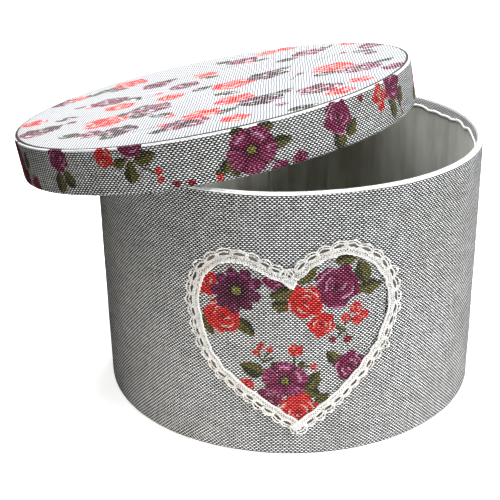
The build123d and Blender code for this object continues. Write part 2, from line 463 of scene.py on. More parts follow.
def cloth_material(name, motifs=(), repeat=2000.0, ribs=0.0, fold=None):
    """Linen-look cloth: woven yarns over gaps darkened as painted shade, with a print on them or
    none.

    ribs is how far the warp's ribs are left unprinted, from 0 to 1. Ribbed cloth is the lid top's,
    whose colour is darkened near its edge as painted shade in the join where the strip's folded
    edge meets it.
    fold is the height on the cloth map where it turns over an edge; from there its colour is
    painted up to plain white, a painted highlight on the rounded edge.
    """
    material, tree, shader = new_material(name)
    place = cloth_place(tree)
    drift = put(tree, "ShaderNodeTexNoise", {"Vector": place, "Scale": 0.035, "Detail": 1.0})
    drift = vector(tree, "SUBTRACT", drift.outputs["Color"], (0.5, 0.5, 0.5))
    yarns = vector(tree, "DIVIDE", place, YARN)
    yarns = vector(tree, "ADD", yarns, scaled(tree, drift, 1.6))
    weave = put(tree, "ShaderNodeGroup", [yarns], node_tree=WEAVE).outputs
    thread = blend(tree, weave["Weft"], SHADED_WARP, WEFT)
    slub = blend(tree, fade(tree, weave["Slub"], -0.35, 0.35), paint(214, 212, 207), WHITE)
    thread = blend(tree, 1.0, thread, slub, "MULTIPLY")
    # Painted shade: low in the weave, between the yarns, the colour goes over to the gaps' dark.
    out_of_gap_shade = fade(tree, weave["Level"], 0.15, 0.8)
    colour = blend(tree, out_of_gap_shade, GAP_SHADE, thread)
    # Painted highlight along the rounded edge where the cloth turns over.
    if fold:
        colour = painted_edge_highlight(tree, place, colour, fold)
    if motifs:
        laid, dyed = printed(tree, place, yarns, motifs, repeat)
        # Dye is taken off the weft crowns: partly worn print, partly a painted highlight on the
        # crowns.
        crown = times(tree, fade(tree, weave["Level"], 0.9, 1.0), weave["Weft"])
        worn = fade(tree, weave["Slub"], 0.0, 0.5)
        bared_and_highlit = times(tree, crown, times_plus(tree, worn, 0.5, 0.14))
        if ribs:
            colour, bared_and_highlit = ribbed(tree, place, yarns, colour, bared_and_highlit, ribs)
            under, depth = WHITE, RIBBED_DEPTH
        else:
            # Painted shade of the weave laid over the print: a little on the warp, much more in the
            # gaps.
            under = blend(tree, weave["Weft"], paint(178, 170, 168), WHITE)
            under = blend(tree, out_of_gap_shade, paint(66, 52, 52), under)
            depth = DYE_DEPTH
        dyed = put(tree, "ShaderNodeGamma", [dyed, depth]).outputs["Color"]
        dyed = blend(tree, 1.0, blend(tree, bared_and_highlit, dyed, WHITE), under, "MULTIPLY")
        colour = blend(tree, calc(tree, "GREATER_THAN", laid, 0.95), colour, dyed)
    if ribs:
        # Painted shade: the colour darkens near the edge, in the join where the strip's folded edge
        # meets the top.
        reach = put(tree, "ShaderNodeVectorMath", [place], operation="LENGTH").outputs["Value"]
        crease_shade = fade(tree, reach, TOP_RADIUS - 2.5, TOP_RADIUS - 2.0)
        colour = blend(tree, crease_shade, colour, paint(70, 68, 62))
    stain = noise(tree, place, 0.012, 2.0)
    tone = blend(tree, fade(tree, stain, 0.3, 0.7), paint(246, 246, 244), paint(255, 255, 255))
    colour = blend(tree, 1.0, colour, tone, "MULTIPLY")
    tree.links.new(colour, shader.inputs["Base Color"])
    fuzz = times_plus(tree, noise(tree, place, 3.0, 2.0), 0.25, weave["Level"])
    bump = put(tree, "ShaderNodeBump", {"Strength": 1.0, "Distance": 0.0007, "Height": fuzz})
    tree.links.new(bump.outputs["Normal"], shader.inputs["Normal"])
    shader.inputs["Roughness"].default_value = 0.88
    shader.inputs["Specular IOR Level"].default_value = 0.08
    shader.inputs["Sheen Weight"].default_value = 0.02
    return material


# ---------------------------------------------------------------- the printed flowers

# A print's colour travels as one number: the dye's own, plus a share for its tone. Where
# motifs overlap, the dye with the higher number lies on top.
DYES = {
    "bare": (0, [(240, 236, 228), (240, 236, 228), (240, 236, 228)]),
    "olive": (1, [(58, 60, 22), (116, 112, 44), (186, 180, 110)]),
    "wine": (2, [(90, 10, 36), (168, 24, 66), (226, 110, 140)]),
    "plum": (3, [(78, 4, 48), (164, 28, 106), (238, 190, 220)]),
    "coral": (4, [(170, 18, 30), (246, 62, 58), (255, 226, 214)]),
    "violet": (5, [(54, 4, 38), (122, 14, 84), (196, 100, 160)]),
    "lime": (6, [(66, 72, 26), (160, 158, 70), (214, 208, 130)]),
}
# The share of the step from one dye to the next that a dye's own tones take up.
TONES = 0.9
MOTIF_INPUTS = [
    "Under", "X", "Y", "Across", "Up", "Half repeat", "Size", "Turn", "Petals", "Dye",
]


def motif_group(name):
    """A group for one motif, with the way from its nearest repeat's centre, x and y."""
    inputs = [(label, "Float") for label in MOTIF_INPUTS]
    outputs = [(label, "Float") for label in ("Print", "X", "Y")]
    tree, given, result = new_group(name, inputs, outputs)
    least = times(tree, given["Half repeat"], -1.0)
    x = minus(tree, given["X"], given["Across"])
    x = calc(tree, "WRAP", x, given["Half repeat"], least)
    y = minus(tree, given["Y"], given["Up"])
    return tree, given, result, x, y


def lay_on(tree, given, result, rim, tone):
    """Lays the motif's dye and tone over what is under it, wherever rim is above 0.

    The place is handed on with a trace of the print in it, too small to see. It makes the
    renderer work the motifs out one after another; all at once they overfill its memory.
    """
    own = times_plus(tree, tone, TONES, given["Dye"])
    own = times(tree, own, calc(tree, "GREATER_THAN", rim, 0.0))
    laid = calc(tree, "MAXIMUM", own, given["Under"])
    tree.links.new(laid, result["Print"])
    for axis in ("X", "Y"):
        tree.links.new(times_plus(tree, laid, 1e-7, given[axis]), result[axis])


def polar(tree, given, x, y):
    """How far out, as a share of the motif's size, and the angle round it."""
    square = times_plus(tree, x, x, times(tree, y, y))
    out = calc(tree, "DIVIDE", calc(tree, "SQRT", square), given["Size"])
    angle = calc(tree, "ARCTAN2", y, x)
    return out, angle, plus(tree, angle, given["Turn"])


def levelled(tree, given, x, y):
    """The way along and across a motif that points the way it is turned."""
    cos = calc(tree, "COSINE", given["Turn"])
    sin = calc(tree, "SINE", given["Turn"])
    run = times_plus(tree, x, cos, times(tree, y, sin))
    back = times(tree, x, sin)
    return run, minus(tree, times(tree, y, cos), back)


def sine(tree, angle, turns, reach, shift=0.0):
    """A wave of so many turns round, reaching so far either way."""
    wave = calc(tree, "SINE", times_plus(tree, angle, turns, shift))
    return times(tree, wave, reach)


def rose_group():
    """A full round bloom: a frilled edge, and petals wound in a spiral to a dark heart."""
    tree, given, result, x, y = motif_group("rose")
    out, plain_angle, angle = polar(tree, given, x, y)
    frill = plus(tree, sine(tree, angle, 5.0, 0.07), sine(tree, angle, 8.0, 0.045, 1.3))
    rim = minus(tree, plus(tree, frill, 0.95), out)
    bend = sine(tree, times_plus(tree, out, 2.0, angle), 3.0, 0.17)
    wind = times_plus(tree, plain_angle, -0.5 / math.pi, bend)
    petal = calc(tree, "FRACT", times_plus(tree, out, 2.7, wind))
    sunny = sine(tree, times_plus(tree, out, 1.4, angle), 2.0, 1.0)
    lit = times(tree, fade(tree, petal, 0.62, 0.86), fade(tree, sunny, -0.2, 0.7))
    tone = times_plus(tree, lit, 0.5, 0.07)
    tone = times_plus(tree, fade(tree, petal, 0.04, 0.3), 0.43, tone)
    tone = times(tree, tone, fade(tree, out, 0.05, 0.24))
    lay_on(tree, given, result, rim, tone)
    return tree


def bloom_group():
    """An open bloom: notched petals, streaked along, round a dark middle."""
    tree, given, result, x, y = motif_group("bloom")
    out, _, angle = polar(tree, given, x, y)
    half = times(tree, given["Petals"], 0.5)
    lobe = calc(tree, "ABSOLUTE", calc(tree, "COSINE", times(tree, angle, half)))
    depth = times_plus(tree, given["Petals"], 0.05, -0.10)
    inner = minus(tree, 0.97, depth)
    reach = times_plus(tree, calc(tree, "POWER", lobe, 0.45), depth, inner)
    rim = minus(tree, plus(tree, reach, sine(tree, angle, 2.0, 0.05)), out)
    vein = fade(tree, sine(tree, angle, 23.0, 1.0), 0.2, 0.9)
    vein = times(tree, vein, fade(tree, out, 0.25, 0.8))
    arc = calc(tree, "ABSOLUTE", minus(tree, out, 0.66))
    arc = times(tree, fade(tree, arc, 0.10, 0.03), fade(tree, lobe, 0.45, 0.7))
    arc = times(tree, arc, fade(tree, sine(tree, angle, 1.0, 1.0), -0.1, 0.5))
    tone = times_plus(tree, arc, 0.4, times_plus(tree, vein, 0.25, 0.1))
    tone = times_plus(tree, fade(tree, lobe, 0.03, 0.4), 0.38, tone)
    tone = times(tree, tone, fade(tree, out, 0.15, 0.42))
    lay_on(tree, given, result, rim, calc(tree, "MINIMUM", tone, 1.0))
    return tree


def leaf_group():
    """A pointed leaf with a pale midrib, one half darker than the other."""
    tree, given, result, x, y = motif_group("leaf")
    run, across = levelled(tree, given, x, y)
    run = calc(tree, "DIVIDE", run, given["Size"])
    across = calc(tree, "DIVIDE", across, given["Size"])
    aside = calc(tree, "ABSOLUTE", across)
    narrow = calc(tree, "MAXIMUM", times_plus(tree, run, -0.2, 0.6), 0.0)
    girth = times_plus(tree, times(tree, run, run), -1.0, 1.0)
    rim = minus(tree, times(tree, girth, narrow), aside)
    slant = calc(tree, "FRACT", times(tree, minus(tree, run, aside), 3.0))
    tone = times_plus(tree, fade(tree, slant, 0.3, 0.08), 0.25, 0.1)
    tone = times_plus(tree, fade(tree, across, 0.05, -0.05), 0.4, tone)
    tone = times_plus(tree, fade(tree, aside, 0.1, 0.02), 0.2, tone)
    lay_on(tree, given, result, rim, tone)
    return tree


def stem_group():
    """A thin bowed stem, Size long, from its centre the way it turns."""
    tree, given, result, x, y = motif_group("stem")
    run, across = levelled(tree, given, x, y)
    reached = calc(tree, "MINIMUM", calc(tree, "MAXIMUM", run, 0.0), given["Size"])
    beyond = calc(tree, "ABSOLUTE", minus(tree, run, reached))
    aside = minus(tree, across, sine(tree, reached, 0.35, 0.5))
    away = plus(tree, beyond, calc(tree, "ABSOLUTE", aside))
    lay_on(tree, given, result, minus(tree, 0.55, away), 0.35)
    return tree


MOTIF_GROUPS = {
    "rose": rose_group(),
    "bloom": bloom_group(),
    "leaf": leaf_group(),
    "stem": stem_group(),
}


def printed(tree, place, yarns, motifs, repeat):
    """The print's colour: its edges step from yarn to yarn, and each motif is laid on."""
    whole = vector(tree, "ADD", vector(tree, "FLOOR", yarns), (0.5, 0.5, 0.0))
    stepped = vector(tree, "MULTIPLY", vector(tree, "SUBTRACT", whole, yarns), YARN)
    wander = put(tree, "ShaderNodeTexNoise", {"Vector": place, "Scale": 0.35, "Detail": 2.0})
    wander = vector(tree, "SUBTRACT", wander.outputs["Color"], (0.5, 0.5, 0.5))
    spot = vector(tree, "ADD", place, scaled(tree, stepped, 0.6))
    spot = vector(tree, "ADD", spot, scaled(tree, wander, 2.6))
    last = put(tree, "ShaderNodeSeparateXYZ", [spot]).outputs
    laid = 0.0
    for kind, across, up, size, turn, dye, petals in motifs:
        inputs = {
            "Under": laid,
            "X": last["X"],
            "Y": last["Y"],
            "Across": across,
            "Up": up,
            "Half repeat": repeat / 2,
            "Size": size,
            "Turn": turn,
            "Petals": float(petals),
            "Dye": float(DYES[dye][0]),
        }
        last = put(tree, "ShaderNodeGroup", inputs, node_tree=MOTIF_GROUPS[kind]).outputs
        laid = last["Print"]
    ramp = put(tree, "ShaderNodeValToRGB", [times(tree, laid, 1 / len(DYES))])
    stops = ramp.color_ramp.elements
    stops.remove(stops[1])
    stops[0].color = paint(*DYES["bare"][1][0])
    for number, shades in DYES.values():
        for step, shade in zip((0.0, 0.5, 1.0), shades):
            stops.new((number + step * TONES + 0.001) / len(DYES)).color = paint(*shade)
    return laid, ramp.outputs["Color"]


def alike(kind, dye, places, petals=5):
    """Motifs of one kind and dye, from the place across and up, size and turn of each.

    Places and sizes are in millimetres on the cloth map, turns in radians.
    """
    return [(kind, *place, dye, petals) for place in places]


HEART_PRINT = [
    *alike("stem", "olive", [
        (-14, 61, 9, 1.1), (-14, 61, 10, 1.9), (-14, 61, 7, 0.5), (31, 77, 13, 1.5),
        (31, 83, 8, 0.6), (31, 81, 8, -2.3), (31, 81, 7, -1.3), (4, 57, 11, 1.6),
        (4, 58, 9, 0.1),
    ]),
    *alike("leaf", "olive", [
        (-8, 60, 2.6, 0.6), (7.5, 60.5, 2.8, 0.5), (28, 82, 2.5, 2.6), (-3.0, 104.5, 7.8, 0.35),
        (-3.0, 97, 6.6, 0.1), (9.5, 115, 8.0, 0.55), (31.5, 122.5, 6.5, 0.1),
        (41, 114.5, 8.0, 1.9), (46, 105, 7.2, 0.1), (38.5, 104, 5.6, -0.3),
        (-23.5, 82.5, 7.0, -0.8), (-45.5, 81, 7.0, -1.1), (-20.5, 56.5, 8.0, 2.8),
        (14, 50, 7.0, 1.0), (12.5, 42.5, 7.2, -0.5), (19, 38, 5.0, 0.6), (25, 63.5, 6.0, 2.2),
    ]),
    *alike("rose", "coral", [
        (-45.5, 107, 8.2, 0.0), (-37, 88.0, 11.2, 1.0), (9, 98.8, 9.9, 2.0),
        (18.2, 84.8, 8.0, 3.4), (37.5, 93, 3.8, 0.2), (32, 87.5, 3.0, 0.9),
        (42.5, 88.5, 3.0, 1.5), (38.5, 85.5, 3.4, 2.0), (-15.5, 71.5, 2.5, 0.3),
        (-10, 69.5, 2.2, 0.7), (-18, 67, 2.2, 1.6), (4, 69, 4.3, 1.0), (14, 58.5, 2.3, 0.0),
        (-24, 46, 4.8, 0.6), (6, 29.8, 12.0, 2.8),
    ]),
    *alike("bloom", "violet", [(-28.5, 104.5, 14.8, 0.3)], 9),
    *alike("rose", "lime", [(-28.5, 104.5, 2.7, 0.0), (-2, 50, 2.2, 0.0)]),
    *alike("rose", "plum", [
        (-8, 112, 6.0, 0.7), (26.3, 106.6, 13.4, 0.5), (35, 57.0, 9.4, 2.5), (-11, 38, 7.5, 1.7),
    ]),
    *alike("rose", "wine", [(24.5, 75, 2.3, 0.0), (33, 74, 2.4, 1.0)]),
    *alike("bloom", "plum", [(-2, 50, 13.0, 0.9)], 5),
]

STRIP_PRINT = [
    *alike("leaf", "olive", [
        (-129, 18, 6.0, 1.5), (-90, 8.5, 7.5, 1.45), (-82, 11, 6.5, 2.2), (-43, 19, 5.0, 0.3),
        (-28, 20.5, 6.8, 0.2), (-38, 13, 6.8, 1.5), (45, 15, 6.5, 0.1), (14, 9, 5.0, 1.1),
        (11, 6, 4.0, 0.2), (18, 4, 3.2, -1.2), (37, 24.0, 6.5, 0.3), (23, 25.5, 4.5, 0.1),
        (80, 6.5, 7.0, 1.6), (89, 10.5, 6.0, 0.9), (129, 10, 6.5, 1.5), (139, 15, 6.5, 1.2),
        (126, 16, 4.5, 2.0), (172, 8, 6.0, 0.4), (198, 20, 6.0, 2.6), (226, 8, 6.0, -0.4),
    ]),
    *alike("rose", "wine", [
        (-147, 17, 11.5, 0.4), (-138, 7, 7.0, 1.1), (-121, 4, 6.0, 2.0), (-14, 4.0, 2.2, 0.0),
        (-6, 3.2, 2.2, 2.0), (99, 24, 2.2, 0.0),
    ]),
    *alike("rose", "plum", [
        (-88, 22.3, 8.2, 0.5), (-36, 28.8, 8.0, 1.0), (42, 0.5, 5.0, 1.0), (54, 3.0, 4.8, 0.0),
        (80.5, 18.5, 9.6, 0.6), (130.5, 23.0, 9.2, 1.4),
    ]),
    *alike("rose", "coral", [
        (-53, 22.5, 6.2, 2.2), (-22, 12.5, 2.2, 0.0), (-22, 7.5, 2.0, 1.0), (9.5, 3.2, 2.0, 0.0),
        (112, 20.5, 3.8, 0.0), (116, 14.5, 3.6, 1.1), (119.5, 20, 3.4, 2.2), (115, 25, 3.2, 0.8),
        (184, 15, 9.5, 0.3), (236, 19, 4.0, 0.0), (241, 13, 3.2, 1.0),
    ]),
    *alike("stem", "olive", [(-37, 19, 16, -0.5), (38, 7, 9, -0.8), (115, 10, 13, 1.6)]),
    *alike("bloom", "plum", [(28.5, 14.0, 13.8, 0.3), (213, 12, 11.0, 1.0)], 5),
    *alike("rose", "lime", [(28.5, 14.5, 2.4, 0.0)]),
    *alike("stem", "wine", [(140, 3, 9, 1.9)]),
]

TOP_PRINT = [
    *alike("rose", "plum", [
        (-110, 51, 11.0, 0.3), (-70, 22, 13.5, 1.1), (-36, -28, 14.5, 2.0), (-66, -72, 9.0, 1.4),
        (-42, 54, 11.0, 2.6), (17, 88, 12.0, 0.8), (64, 72, 13.0, 1.5), (107, 53, 11.0, 2.2),
        (94, -20, 14.0, 0.6), (115, -36, 9.5, 1.3), (68, -61, 14.0, 0.1), (-106, -39, 12.0, 1.9),
        (104, 24, 5.0, 1.0), (-90, 22, 4.2, 0.5), (46, -86, 4.2, 0.5),
    ]),
    *alike("rose", "coral", [
        (-98, 57, 7.0, 1.3), (-115, -6, 9.0, 0.2), (-59, -3, 10.5, 1.2), (-26, -2, 9.5, 2.1),
        (-64, 80, 13.0, 0.5), (-8, 59, 9.0, 1.4), (-61, -45, 14.5, 2.7), (0, -72, 12.0, 0.9),
        (14, 2, 14.5, 1.6), (34, 102, 9.5, 0.3), (49, 107, 9.0, 2.4), (96, 80, 9.5, 1.0),
        (78, -2, 13.5, 0.4), (92, -57, 8.0, 1.8), (79, -79, 9.5, 2.9), (18, -47, 13.0, 0.7),
        (21, -100, 9.0, 1.5), (-36, 19, 3.4, 0.0), (-22, -84, 3.2, 2.0), (22, 78, 3.4, 0.5),
        (-82, 14, 3.4, 0.9), (-20, -62, 4.0, 0.2),
    ]),
    *alike("rose", "violet", [
        (-48, -76, 12.0, 0.4), (36, 13, 14.0, 1.7), (34, -63, 14.5, 0.5), (-98, -34, 8.0, 0.9),
    ]),
    *alike("bloom", "plum", [(-8, -90, 14.0, 0.9), (-20, 31, 11.0, 0.2)], 5),
    *alike("leaf", "olive", [
        (-78, 70, 10.0, 0.5), (-70, 64, 7.5, 0.1), (-40, -44, 10.0, -0.4), (-52, -32, 8.0, 0.9),
        (-80, -66, 9.0, 2.7), (-50, -88, 8.5, 0.2), (50, 58, 9.5, 0.4), (76, 80, 8.0, 0.7),
        (2, 98, 9.0, 2.4), (100, 36, 8.5, -0.6), (74, -19, 9.5, 0.1), (110, -10, 8.0, 0.6),
        (12, -24, 9.5, -0.4), (-6, 8, 8.5, 0.6), (58, -104, 9.5, 0.3), (-52, 16, 8.5, -0.9),
        (-88, 62, 8.0, 0.5), (46, 27, 8.0, 0.7), (-4, 46, 8.0, -0.3), (-92, -12, 8.0, 0.1),
        (-26, -54, 8.5, 2.9), (14, -76, 9.0, 0.6), (48, -50, 8.0, 0.9), (-20, -98, 8.0, 0.1),
        (-34, 62, 7.5, 0.4), (30, 78, 7.5, 0.0),
    ]),
    *alike("stem", "olive", [
        (-50, 8, 16, 0.6), (-100, -30, 14, 0.2), (-38, -88, 16, 0.3), (52, -20, 15, 1.3),
        (2, 70, 20, 0.4), (68, 34, 20, 0.5),
    ]),
    *alike("rose", "wine", [(-86, -27, 3.4, 1.0), (57, -4, 3.6, 0.5), (88, 44, 3.4, 0.5)]),
]


# ---------------------------------------------------------------- other materials

def satin_material(name, tint, shade, edge=None):
    """Thin lining satin: a fine one-way grain, soft gloss and slow changes of tone.

    edge is the height on the cloth map above which it is folded double; there its colour is painted
    near white, a painted highlight on the fold.
    """
    material, tree, shader = new_material(name)
    place = cloth_place(tree)
    grain = noise(tree, vector(tree, "MULTIPLY", place, (6.0, 0.5, 1.0)), 1.0, 2.0)
    cloud = noise(tree, vector(tree, "MULTIPLY", place, (0.05, 0.012, 1.0)), 1.0, 3.0, 0.6)
    colour = blend(tree, fade(tree, cloud, 0.32, 0.68), shade, tint)
    light = blend(tree, times(tree, grain, 0.16), colour, shade)
    # Painted highlight along the folded top edge.
    if edge:
        height = put(tree, "ShaderNodeSeparateXYZ", [place]).outputs["Y"]
        light = blend(tree, fade(tree, height, edge, edge + 0.5), light, paint(250, 250, 248))
    rough = times_plus(tree, grain, 0.16, 0.34)
    height = times_plus(tree, cloud, 3.0, times(tree, grain, 0.3))
    finish_shader(tree, shader, light, rough, height, 0.35, 0.0006)
    shader.inputs["Sheen Weight"].default_value = 0.2
    shader.inputs["Specular IOR Level"].default_value = 0.6
    return material


def board_material():
    """Recycled greyboard: mottled grey pulp with darker and lighter fibres."""
    material, tree, shader = new_material("greyboard")
    place = put(tree, "ShaderNodeTexCoord").outputs["Object"]
    pulp = noise(tree, place, 90.0, 6.0, 0.65)
    fleck = noise(tree, vector(tree, "MULTIPLY", place, (900.0, 900.0, 2500.0)), 1.0, 2.0)
    colour = blend(tree, pulp, paint(138, 130, 118), paint(176, 168, 156))
    colour = blend(tree, fade(tree, fleck, 0.62, 0.72), colour, paint(92, 84, 76))
    rough = times_plus(tree, pulp, 0.1, 0.85)
    finish_shader(tree, shader, colour, rough, fleck, 0.3, 0.0003)
    return material


def tape_material():
    """Brown paper tape: fine long fibres and faint laid lines."""
    material, tree, shader = new_material("paper_tape")
    place = put(tree, "ShaderNodeTexCoord").outputs["Object"]
    fibre = noise(tree, vector(tree, "MULTIPLY", place, (700.0, 700.0, 120.0)), 1.0, 4.0)
    colour = blend(tree, fibre, paint(168, 132, 92), paint(204, 170, 126))
    rough = times_plus(tree, fibre, 0.2, 0.6)
    finish_shader(tree, shader, colour, rough, fibre, 0.2, 0.0001)
    return material


def wadding_material():
    """Polyester wadding: a loose cloudy web of white fibre."""
    material, tree, shader = new_material("wadding")
    place = put(tree, "ShaderNodeTexCoord").outputs["Object"]
    web = noise(tree, place, 260.0, 8.0, 0.75)
    colour = blend(tree, fade(tree, web, 0.35, 0.65), paint(214, 214, 212), paint(250, 250, 248))
    rough = times_plus(tree, web, 0.1, 0.88)
    finish_shader(tree, shader, colour, rough, web, 0.8, 0.001)
    return material


def lace_material():
    """Crochet cotton: plies wound along the thread, darkened in the grooves between them as painted
    shade, with a fine fuzz.
    """
    material, tree, shader = new_material("lace_cotton")
    place = put(tree, "ShaderNodeSeparateXYZ", [cloth_place(tree)]).outputs
    phase = times_plus(tree, place["X"], 7.0, times(tree, place["Y"], 6.2832))
    ply = times_plus(tree, calc(tree, "SINE", phase), 0.5, 0.5)
    position = put(tree, "ShaderNodeTexCoord").outputs["Object"]
    fuzz = noise(tree, position, 1500.0, 3.0, 0.6)
    cloud = noise(tree, position, 60.0, 2.0)
    # Painted shade: the colour darkens in the grooves between the plies.
    colour = blend(tree, fade(tree, ply, 0.0, 0.7), paint(150, 148, 144), paint(244, 243, 240))
    colour = blend(tree, fade(tree, cloud, 0.35, 0.7), colour, paint(216, 213, 207))
    rough = times_plus(tree, fuzz, 0.15, 0.78)
    height = times_plus(tree, fuzz, 0.6, ply)
    finish_shader(tree, shader, colour, rough, height, 1.0, 0.0003)
    shader.inputs["Sheen Weight"].default_value = 0.15
    return material


def lace_shade_material():
    """Painted shade under the lace: a dark, slightly glossy line, seen through its eyelets."""
    material, tree, shader = new_material("lace_painted_shade")
    place = put(tree, "ShaderNodeTexCoord").outputs["Object"]
    patch = noise(tree, place, 400.0, 3.0, 0.6)
    colour = blend(tree, patch, paint(38, 32, 26), paint(74, 64, 54))
    finish_shader(tree, shader, colour, times_plus(tree, patch, 0.3, 0.4))
    return material


PLAIN = cloth_material("plain_cloth")
# Painted highlight along the rim's rounded top.
WALL_CLOTH = cloth_material("wall_cloth", fold=WALL_HIGH - WALL_LOW - 0.5)
SATIN_CLOTH = satin_material("satin", paint(194, 197, 188), paint(154, 150, 140))
# The wall's satin has a painted highlight along its folded top edge.
WALL_SATIN = satin_material(
    "wall_satin", paint(194, 197, 188), paint(154, 150, 140), LINING_HIGH - LINING_LOW - 2.0
)
BOARD = board_material()
TAPE = tape_material()
WADDING = wadding_material()
LACE = lace_material()
LACE_SHADE = lace_shade_material()


# ---------------------------------------------------------------- pieces of the box

def finish_piece(piece, body, slot, *nodes):
    """Attaches a piece to the body it rides and hides the nodes it stands for; slot, what it is
    made of, is not used.
    """
    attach(piece, body)
    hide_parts(*nodes)
    return piece


def wall_cover():
    """The plain cloth, turned over the rim and under the foot, lapped at the back."""
    slack = ripples(11, 9, 9, 0.03)
    fine = ripples(12, 12, 60, 0.15)

    def dress(angle, radius, height):
        lap = 0.35 * ease(angle, np.pi - 0.105, np.pi - 0.1)
        outer = ease(radius, WALL_HEM_INNER - 4, BOX_RADIUS - 1)
        loose = 0.12 * slack(angle, height) + 0.04 * fine(angle, height)
        return (loose + lap) * outer, 0.12 * slack(angle, 0 * height) * ease(height, 100, 160)

    corners = [
        (BOX_RADIUS, WALL_LOW, 1.2),
        (BOX_RADIUS, WALL_HIGH, 1.9),
        (WALL_HEM_INNER, WALL_HIGH, 1.9),
        (WALL_HEM_INNER, WALL_HIGH - WALL_HEM, 0),
        (WALL_HEM_INNER + CLOTH, WALL_HIGH - WALL_HEM, 0),
        (WALL_HEM_INNER + CLOTH, WALL_HIGH - CLOTH, 0.3),
        (BOX_RADIUS - CLOTH, WALL_HIGH - CLOTH, 0.3),
        (BOX_RADIUS - CLOTH, WALL_LOW + CLOTH, 0.2),
        (BOX_RADIUS - UNDER_HEM, WALL_LOW + CLOTH, 0),
        (BOX_RADIUS - UNDER_HEM, WALL_LOW, 0),
    ]
    piece = turned("wall_cover_cloth", BOX, corners, WALL_CLOTH, True, 720, 6.0, dress)
    return finish_piece(piece, "box", "plain_cloth", "wall_cover")


def base_cover():
    """The cloth disc that hides the foot's turned-under edge."""
    ruck = ripples(21, 8, 14, 0.02)

    def dress(angle, radius, height):
        inner = 1 - ease(radius, BASE_RADIUS - 6, BASE_RADIUS)
        return 0.3 * ruck(angle, 0 * height), 0.05 * (1 + ruck(angle, radius)) * inner

    corners = [
        (0, BASE_LOW, 0),
        (BASE_RADIUS, BASE_LOW, 0.2),
        (BASE_RADIUS, BASE_HIGH, 0.2),
        (0, BASE_HIGH, 0),
    ]
    piece = turned("base_cover_cloth", BOX, corners, PLAIN, False, 240, 8.0, dress, True)
    return finish_piece(piece, "box", "plain_cloth", "base_cover")


def pleats(seed, count, narrow, wide, shallow, deep):
    """Random soft vertical folds, as a function of angle, each pushing one way."""
    draw = np.random.default_rng(seed)
    places = draw.uniform(-np.pi, np.pi, count)
    widths = draw.uniform(narrow, wide, count)
    depths = draw.uniform(shallow, deep, count)

    def fold(angle):
        total = 0
        for place, width, depth in zip(places, widths, depths):
            apart = (angle - place + np.pi) % (2 * np.pi) - np.pi
            total = total + depth * np.exp(-((apart / width) ** 2))
        return total

    return fold


# Where the lining has a sharp pressed pleat, in radians round from the front.
PRESSED_PLEAT = 2.88


def wall_lining():
    """The wall's satin: soft folds, one pressed pleat and a kinked top edge."""
    fold = pleats(31, 34, 0.008, 0.05, 0.1, 0.75)
    slack = ripples(32, 10, 16, 0.03)
    top_wave = ripples(33, 8, 26, 0.0)

    def dress(angle, radius, height):
        free = 0.35 + 0.65 * ease(height, LINING_LOW, LINING_LOW + 60)
        pressed = 0.9 * np.exp(-(((angle - PRESSED_PLEAT) / 0.014) ** 2))
        inward = fold(angle) * free + pressed + 0.25 * (1 + slack(angle, height))
        near_top = ease(height, LINING_HIGH - 30, LINING_HIGH)
        kinked = 1.7 * np.abs(top_wave(angle, 0 * height)) - 0.7
        return -inward, kinked * near_top

    corners = [
        (LINING_INNER, LINING_LOW, 0),
        (LINING_INNER, LINING_HIGH - 2.4, 0.5),
        (LINING_INNER - 0.5, LINING_HIGH - 1.2, 0.6),
        (LINING_INNER - 0.2, LINING_HIGH, 0.5),
        (WALL_HEM_INNER, LINING_HIGH, 0.3),
        (WALL_HEM_INNER, LINING_LOW, 0),
    ]
    piece = turned("wall_lining_satin", BOX, corners, WALL_SATIN, True, 1080, 6.0, dress)
    return finish_piece(piece, "box", "satin", "wall_lining")


def floor_lining():
    """Satin drawn over the floor card and its edge."""
    ruck = ripples(41, 10, 40, 0.05)

    def dress(angle, radius, height):
        edge = ease(radius, FLOOR_EDGE - 25, FLOOR_EDGE - 2)
        crown = 0.5 * (1 - (radius / FLOOR_EDGE) ** 2)
        return 0 * radius, (crown + 0.15 * ruck(angle, radius) * edge) * (height > FLOOR_LOW + 1)

    corners = [
        (0, FLOOR_HIGH, 0),
        (FLOOR_EDGE, FLOOR_HIGH, 1.4),
        (FLOOR_EDGE, FLOOR_LOW, 0),
        (FLOOR_EDGE - SATIN, FLOOR_LOW, 0),
        (FLOOR_EDGE - SATIN, FLOOR_HIGH - SATIN, 0.8),
        (0, FLOOR_HIGH - SATIN, 0),
    ]
    piece = turned("floor_lining_satin", BOX, corners, SATIN_CLOTH, False, 360, 6.0, dress, True)
    return finish_piece(piece, "box", "satin", "floor_lining")


# ---------------------------------------------------------------- the heart

# Places on the wall are (girth from the front, height); the outline is the lace's inner edge.
HEART_NOTCH = (1.5, 108.0)
HEART_TIP = (5.3, 24.0)
HEART_LEFT = [(-12, 115), (-33, 121), (-47.5, 108), (-48.5, 83), (-39.5, 60), (-20.5, 43)]
HEART_RIGHT = [(13, 119), (31, 125.5), (50, 114), (56.5, 93), (48.5, 69), (27.5, 42.5)]
PATCH_UNDER_LACE = 3.0
LEFT_LACE_JOIN = 82.0
RIGHT_LACE_JOIN = 87.0


